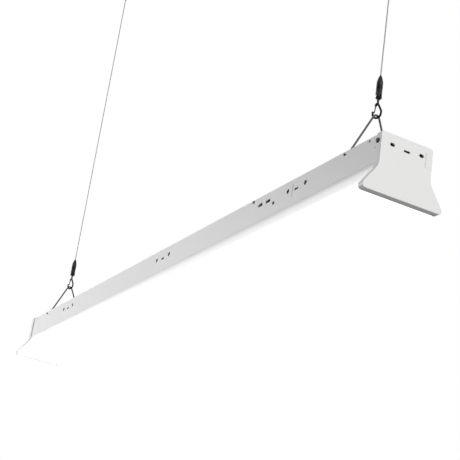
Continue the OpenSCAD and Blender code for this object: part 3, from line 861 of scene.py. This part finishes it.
@dataclass
class Hanger:
    """One hanger: cable, gripper, snap hook and V-hook, with its ceiling fittings.

    Attributes:
        side: The end of the light that it carries.
        rope_d: The cable's diameter.
        release_l: How far the plunger is pushed in, which squeezes the spring. Not used.
        route_z: Heights of the cable's route, from inside the gripper up to inside the fork.
        exit_z: Where the cable leaves the gripper. Not used.
        lower: The pieces between the cable and the V-hook.
        upper: The pieces that hang the cable's fork from the ceiling.
    """

    side: Side
    rope_d: float = 1.8 * MM
    release_l: float = 1.8 * MM
    route_z: tuple[float, ...] = (
        -0.689, -0.678, -0.666, -0.655, -0.630, -0.590, -0.540, -0.490, -0.440, -0.390,
        -0.340, -0.290, -0.240, -0.190, -0.140, -0.100, -0.070, -0.054, -0.046)
    exit_z: float = LIGHT_TOP + 119.5 * MM
    lower: tuple[Rounding, ...] = (
        Rounding("snap_hook", "hook_{side}", Tone.HOOK, 0.25 * MM, 46.0),
        Rounding("hook_gate", "gate_{side}", Tone.HOOK, 0.2 * MM, 46.0),
        Rounding("gripper_body", "drop_{side}", Tone.GRIPPER, 0.25 * MM, 46.0),
        Rounding("gripper_plunger", "release_{side}", Tone.GRIPPER, 0.15 * MM, 46.0),
        Rounding("hook_pin", "drop_{side}", Tone.ZINC, 0.2 * MM, 46.0),
        Rounding("gate_pin", "hook_{side}", Tone.ZINC, 0.1 * MM, 46.0))
    upper: tuple[Rounding, ...] = (
        Rounding("ceiling_bracket", "ceiling", Tone.ZINC, 0.4 * MM, 40.0),
        Rounding("sway_pin", "ceiling", Tone.ZINC, 0.4 * MM, 40.0),
        Rounding("toggle", "toggle_{side}", Tone.ZINC, 0.4 * MM, 40.0),
        Rounding("swing_pin", "drop_{side}", Tone.ZINC, 0.4 * MM, 40.0))

    @property
    def x(self) -> float:
        """The hanger's place along the light."""
        return self.side.sign * HANGER_X

    def cable(self) -> None:
        """The steel rope on its declared route."""
        curve = bpy.data.curves.new(f"steel_rope_{self.side}", "CURVE")
        curve.dimensions = "3D"
        curve.bevel_depth = self.rope_d / 2
        curve.bevel_resolution = 4
        curve.use_fill_caps = True
        spline = curve.splines.new("POLY")
        spline.points.add(len(self.route_z) - 1)
        for point, z in zip(spline.points, self.route_z):
            point.co = (self.x, 0.0, z, 1.0)
        piece = bpy.data.objects.new(curve.name, curve)
        bpy.context.scene.collection.objects.link(piece)
        tone = Tone.ROPE_RIGHT if self.side is Side.RIGHT else Tone.ROPE_LEFT
        Stand.for_nodes(piece, tone, f"drop_{self.side}", f"cable_{self.side}")

    def rounded(self, parts: Sequence[Rounding]) -> None:
        """Rounds and dresses pieces of this side.

        Args:
            parts: The pieces and how each is rounded.
        """
        for part in parts:
            node = f"{part.node}_{self.side}"
            piece = Bench.rounded_copy(node, f"{node}_rounded", part.width, part.angle)
            Stand.for_nodes(piece, part.tone, part.body.format(side=self.side), node)

    def spring(self) -> None:
        """The spring under the gripper's plunger, rounded, dressed and riding with the gripper's body; it
        keeps its shape when the plunger goes in.
        """
        node = f"gripper_spring_{self.side}"
        piece = Bench.rounded_copy(node, f"{node}_wound")
        Stand.for_nodes(piece, Tone.ZINC, f"drop_{self.side}", node)
        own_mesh(piece)

    def v_hook(self) -> None:
        """The bent spring wire."""
        piece = Bench.rounded_copy(f"v_hook_{self.side}", f"v_hook_{self.side}_wire")
        Stand.for_nodes(piece, Tone.WIRE, "light", f"v_hook_{self.side}")

    def build(self) -> None:
        """Makes and dresses the whole hanger below its cable, then its ceiling fittings."""
        self.rounded(self.lower)
        self.spring()
        self.v_hook()
        self.rounded(self.upper)
        Stand.dress(Tone.ZINC, f"cable_fork_{self.side}", f"gripper_balls_{self.side}")


@dataclass(frozen=True)
class PanScrew:
    """A pan-head screw with a cross recess.

    Attributes:
        head_r: Radius of the head.
        head_h: Height of the head.
        shank_r: Radius of the shank.
        shank_l: Length of the shank.
        sunk: How far the shank reaches into the head, as a share of the head's height.
        crown: Rounding of the head's rim, as a share of the head's height.
        cross_l: Length of the cross, as a share of the head's radius.
        cross_w: Width of its arms, as a share of the head's radius.
        cross_h: Its depth, as a share of the head's height.
        facets: Sides of the round parts.
    """

    head_r: float
    head_h: float
    shank_r: float = 1.5 * MM
    shank_l: float = 6.0 * MM
    sunk: float = 0.3
    crown: float = 0.6
    cross_l: float = 1.1
    cross_w: float = 0.24
    cross_h: float = 0.55
    facets: int = 28

    def seated(self, name: str, seats: Sequence[Seat]) -> bpy.types.Object:
        """Models the screw once and copies it to each of its seats.

        Args:
            name: The screws' name, which the number of each follows.
            seats: The middle of each head's underside, and the way that the head points.

        Returns:
            All the screws in one piece, named as the first.
        """
        model = self.model()
        screws = []
        for number, (seat, out) in enumerate(seats):
            screw = Bench.copied(model, f"{name}_{number}")
            turn = Vector(out).to_track_quat("Z", "Y").to_matrix().to_4x4()
            screw.data.transform(Matrix.Translation(seat) @ turn)
            screws.append(screw)
        bpy.data.objects.remove(model)
        return Bench.joined(*screws)

    def model(self) -> bpy.types.Object:
        """Models the screw upright, with the underside of its head at the origin.

        Returns:
            The screw, with its head and shank in one mesh.
        """
        head = self._bar("screw_head", self.head_r, 0.0, self.head_h)
        rim_z = 0.99 * self.head_h
        Bench.open_edges(head, lambda points: all(point.z > rim_z for point in points))
        bpy.ops.mesh.bevel(offset=self.crown * self.head_h, segments=4, affect="EDGES")
        Bench.close()
        self._recess(head, self.cross_w * self.head_r, self.cross_l * self.head_r)
        self._recess(head, self.cross_l * self.head_r, self.cross_w * self.head_r)
        return Bench.joined(head, self._bar("shank", self.shank_r, -self.shank_l, self.sunk * self.head_h))

    def _bar(self, name: str, radius: float, low: float, high: float) -> bpy.types.Object:
        """Makes a round bar between two heights.

        Args:
            name: The bar's name.
            radius: Its radius.
            low: The height of its lower end.
            high: The height of its upper end.

        Returns:
            The bar.
        """
        Bench.clear()
        bpy.ops.mesh.primitive_cylinder_add(vertices=self.facets, radius=radius, depth=high - low,
                                            location=(0.0, 0.0, (low + high) / 2))
        return Bench.named(name)

    def _recess(self, head: bpy.types.Object, width: float, length: float) -> None:
        """Cuts one arm of the cross into the head.

        Args:
            head: The head.
            width: The arm's size along X.
            length: The arm's size along Y.
        """
        Bench.clear()
        bpy.ops.mesh.primitive_cube_add(size=1.0, scale=(width, length, 2 * self.cross_h * self.head_h),
                                        location=(0.0, 0.0, self.head_h))
        cutter = Bench.named("recess")
        Bench.apply(head, "BOOLEAN", operation="DIFFERENCE", object=cutter, solver="EXACT")
        bpy.data.objects.remove(cutter)


@dataclass
class Body:
    """The light's outside: caps, housing, lens, screws and switches.

    Attributes:
        end: Distance of a cap's face from the middle.
        cap_half: Half of a cap's width at the top.
        cap_corner: Radius of a cap's top corners.
        cap_proud: How far the caps stand proud of the housing.
        face_round: Rounding of the outline of a cap's face.
        edge_round: Rounding of a cap's other edges.
        crisp: A cap's edges sharper than this many degrees stay crisp.
        near: How close a point lies to an outline that it belongs to.
        cap_screw: The screws of the caps.
        cap_screw_inset: Their distance from a cap's face.
        cap_screw_depth: Their depth below the light's top.
        cap_screw_sides: The side along X and the side along Y of each.
        plate_screw: The screws by the switches.
        plate_screw_gap: The clearance under their heads.
        plate_screw_spots: The X of each, and its depth below the light's top.
    """

    end: float = 600.0 * MM
    cap_half: float = 39.0 * MM
    cap_corner: float = 2.5 * MM
    cap_proud: float = 1.5 * MM
    face_round: float = 0.8 * MM
    edge_round: float = 0.3 * MM
    crisp: float = 35.0
    near: float = 0.05 * MM
    cap_screw: PanScrew = PanScrew(head_r=3.2 * MM, head_h=1.8 * MM)
    cap_screw_inset: float = 7.0 * MM
    cap_screw_depth: float = 12.0 * MM
    cap_screw_sides: tuple[Pair, ...] = ((1.0, -1.0), (1.0, 1.0), (-1.0, 1.0))
    plate_screw: PanScrew = PanScrew(head_r=2.2 * MM, head_h=1.2 * MM, shank_l=3.4 * MM)
    plate_screw_gap: float = 0.02 * MM
    plate_screw_spots: tuple[Pair, ...] = ((289.0 * MM, 4.4 * MM), (347.0 * MM, 22.5 * MM))

    def on_face_outline(self, points: Sequence[Vector], face_x: float) -> bool:
        """Whether an edge belongs to the outline of a cap's face.

        Args:
            points: The edge's two ends.
            face_x: The face's place along the light.

        Returns:
            True where both ends lie in the face and on its sides, its top with the corners, or its foot.
        """
        side_y = self.cap_half - self.near
        top_z = LIGHT_TOP - self.cap_corner - self.near
        foot_z = LIGHT_TOP - LIGHT_H + self.near
        return all(abs(point.x - face_x) < self.near
                   and (abs(point.y) > side_y or point.z > top_z or point.z < foot_z) for point in points)

    def caps(self) -> None:
        """Both end caps, with a broad rounding round the face and fine ones elsewhere."""
        for side in Side:
            piece = Bench.rounded_copy(f"end_cap_{side}", f"end_cap_{side}_moulded", angle=self.crisp)
            Bench.open_edges(piece, lambda points: self.on_face_outline(points, side.sign * self.end))
            bpy.ops.mesh.bevel(offset=self.face_round, segments=5, affect="EDGES")
            Bench.close()
            Bench.round_edges(piece, self.edge_round, angle=50.0)
            Bench.smooth(piece, self.crisp)
            Stand.for_nodes(piece, Tone.CAP, "light", f"end_cap_{side}")

    def shell(self) -> None:
        """Housing and lens keep their own shapes."""
        Stand.dress(Tone.SHEET, "housing")
        Stand.dress(Tone.OPAL, "lens")

    def cap_seats(self) -> list[Seat]:
        """The seat of each cap screw, and the way that its head points."""
        along, height = self.end - self.cap_screw_inset, LIGHT_TOP - self.cap_screw_depth
        return [((x * along, y * self.cap_half, height), (0.0, y, 0.0)) for x, y in self.cap_screw_sides]

    def plate_seats(self) -> list[Seat]:
        """The seat of each screw by the switches, and the way that its head points."""
        wall_y = -(self.cap_half - self.cap_proud + self.plate_screw_gap)
        return [((x, wall_y, LIGHT_TOP - depth), (0.0, -1.0, 0.0)) for x, depth in self.plate_screw_spots]

    def screws(self) -> None:
        """The screws of the caps and of the switch plate, with their cross recesses."""
        for screw, name, seats, tone, node in (
                (self.cap_screw, "cap_screw", self.cap_seats(), Tone.SCREW, "end_cap_screws"),
                (self.plate_screw, "plate_screw", self.plate_seats(), Tone.PLATE_SCREW, "selector_screws")):
            piece = screw.seated(name, seats)
            Bench.smooth(piece, angle=30.0)
            Stand.for_nodes(piece, tone, "light", node)

    def small_parts(self) -> None:
        """Switches and the supply bushing."""
        Stand.dress(Tone.BLACK, "power_switch", "power_slider", "colour_switch", "colour_slider",
                    "supply_bushing")

    def build(self) -> None:
        """Makes and dresses the whole outside."""
        self.caps()
        self.shell()
        self.screws()
        self.small_parts()


@dataclass
class Gear:
    """What the housing hides: tray, boards, driver and wiring.

    Attributes:
        rows: The rows of LED boards, each with a board at either end.
    """

    rows: tuple[str, ...] = ("front", "back")

    def build(self) -> None:
        """Dresses every node inside."""
        Stand.dress(Tone.SHEET, "gear_tray")
        Stand.dress(Tone.ZINC, "tray_standoffs", "tray_screws", "driver_case", "driver_lid", "driver_screws",
                    "selector_plate")
        Stand.dress(Tone.BOARD, *(f"led_board_{row}_{side}" for row in self.rows for side in Side))
        Stand.dress(Tone.LED, *(f"leds_{row}" for row in self.rows))
        Stand.dress(Tone.CARD, "driver_board")
        Stand.dress(Tone.PALE, "terminal_block")
        Stand.dress(Tone.GREEN, "ground_screw")
        Stand.dress(Tone.LEAD, "inner_wires")


# ---------- Studio ----------


def aimed(place: Point, target: Point, roll: float = 0.0) -> Matrix:
    """Places something that looks along its own -Z.

    Args:
        place: Where it stands.
        target: The point that it faces.
        roll: Its turn about its view, in degrees.

    Returns:
        Its place and turn.
    """
    ahead = Vector(target) - Vector(place)
    turn = Quaternion(-ahead, radians(roll)) @ ahead.to_track_quat("-Z", "Y")
    return Matrix.Translation(place) @ turn.to_matrix().to_4x4()


@dataclass(frozen=True)
class Lamp:
    """A square soft lamp that isn't seen itself.

    Attributes:
        name: What it is for.
        place: Where it stands.
        target: The point that it faces.
        size: Length of its sides.
        power: Its power in watts.
        spread: The angle of its beam in degrees.
    """

    name: str
    place: Point
    target: Point
    size: float
    power: float
    spread: float = 180.0

    def build(self) -> None:
        """Puts the lamp up."""
        data = bpy.data.lights.new(self.name, "AREA")
        data.shape = "SQUARE"
        data.size = self.size
        data.energy = self.power
        data.spread = radians(self.spread)
        lamp = bpy.data.objects.new(self.name, data)
        lamp.visible_camera = False
        lamp.matrix_world = aimed(self.place, self.target)
        bpy.context.scene.collection.objects.link(lamp)


@dataclass
class Studio:
    """Camera, lamps, world and floor.

    Attributes:
        eye: The camera's place.
        aim: The point it looks at.
        roll: Its turn about the view, in degrees, right-hand side up.
        lens: Its focal length in millimetres.
        sensor: The width of its sensor in millimetres.
        sight: How far it sees.
        lamps: The lamps.
        fill: Strength of the world where it only lights the object.
        floor_z: Height of the floor.
        floor_size: Length of its sides.
        floor_grey: The grey that it throws back.
        floor_shown: The paler grey that the camera sees in it.
        floor_share: The share of that paler grey.
    """

    eye: Point = (1.7312, -0.7848, -1.4540)
    aim: Point = (0.1584, -0.0036, -0.7861)
    roll: float = 8.38
    lens: float = 96.62
    sensor: float = 36.0
    sight: float = 50.0
    lamps: tuple[Lamp, ...] = (
        Lamp("key", place=(4.6, 0.8, 0.5), target=(0.4, 0.0, -0.8), size=2.4, power=134.0),
        Lamp("side", place=(-1.35, -1.55, -0.5), target=(-0.5, 0.0, -0.8), size=1.0, power=24.5),
        Lamp("low", place=(-0.75, 0.15, -1.9), target=(-0.6, 0.0, -0.8), size=0.6, power=3.6, spread=90.0))
    fill: float = 0.26
    floor_z: float = -3.2
    floor_size: float = 60.0
    floor_grey: float = 0.59
    floor_shown: float = 0.9
    floor_share: float = 0.8

    def camera(self) -> None:
        """The photograph's viewpoint."""
        data = bpy.data.cameras.new("viewpoint")
        data.sensor_width = self.sensor
        data.lens = self.lens
        data.clip_end = self.sight
        camera = bpy.data.objects.new("viewpoint", data)
        bpy.context.scene.collection.objects.link(camera)
        camera.matrix_world = aimed(self.eye, self.aim, self.roll)
        bpy.context.scene.camera = camera

    def world(self) -> None:
        """White where it is seen or mirrored, and a softer fill for the object's own light."""
        world = bpy.data.worlds.new("studio air")
        bpy.context.scene.world = world
        world.use_nodes = True
        net = Net(world.node_tree)
        seen, glossy, through = net.rays("Is Camera Ray", "Is Glossy Ray", "Is Transmission Ray")
        strength = net.between((seen + glossy + through).clamped(), self.fill, 1.0)
        shader = net.node("ShaderNodeBackground", {}, {"Color": grey(1.0), "Strength": strength})
        net.node("ShaderNodeOutputWorld", {}, {"Surface": shader})

    def floor(self) -> None:
        """A plain pale floor far below the light, which shows paler than it throws light back."""
        Bench.clear()
        bpy.ops.mesh.primitive_plane_add(size=self.floor_size, location=(0.0, 0.0, self.floor_z))
        floor = Bench.named("floor")
        made = bpy.data.materials.new("pale floor")
        made.use_nodes = True
        net = Net(made.node_tree)
        (seen,) = net.rays("Is Camera Ray")
        plain = net.node("ShaderNodeBsdfDiffuse", {}, {"Color": grey(self.floor_grey)})
        pale = net.node("ShaderNodeEmission", {}, {"Color": grey(self.floor_shown)})
        mixed = net.node("ShaderNodeMixShader", {}, {0: seen * self.floor_share, 1: plain, 2: pale})
        net.node("ShaderNodeOutputMaterial", {}, {"Surface": mixed})
        floor.data.materials.append(made)

    def build(self) -> None:
        """Lamps, world and floor."""
        for lamp in self.lamps:
            lamp.build()
        self.world()
        self.floor()


# ---------- The scene ----------


def main() -> None:
    """Builds the camera and the cables first, then everything else."""
    logging.basicConfig(level=logging.INFO, format="%(message)s")
    bpy.context.scene.view_settings.view_transform = "Standard"
    studio = Studio()
    studio.camera()
    hangers = [Hanger(side) for side in Side]
    for hanger in hangers:
        hanger.cable()
    for assembly in (*hangers, Body(), Gear(), studio):
        assembly.build()
        LOG.info("%s built", type(assembly).__name__)


if __name__ == "__main__":
    main()
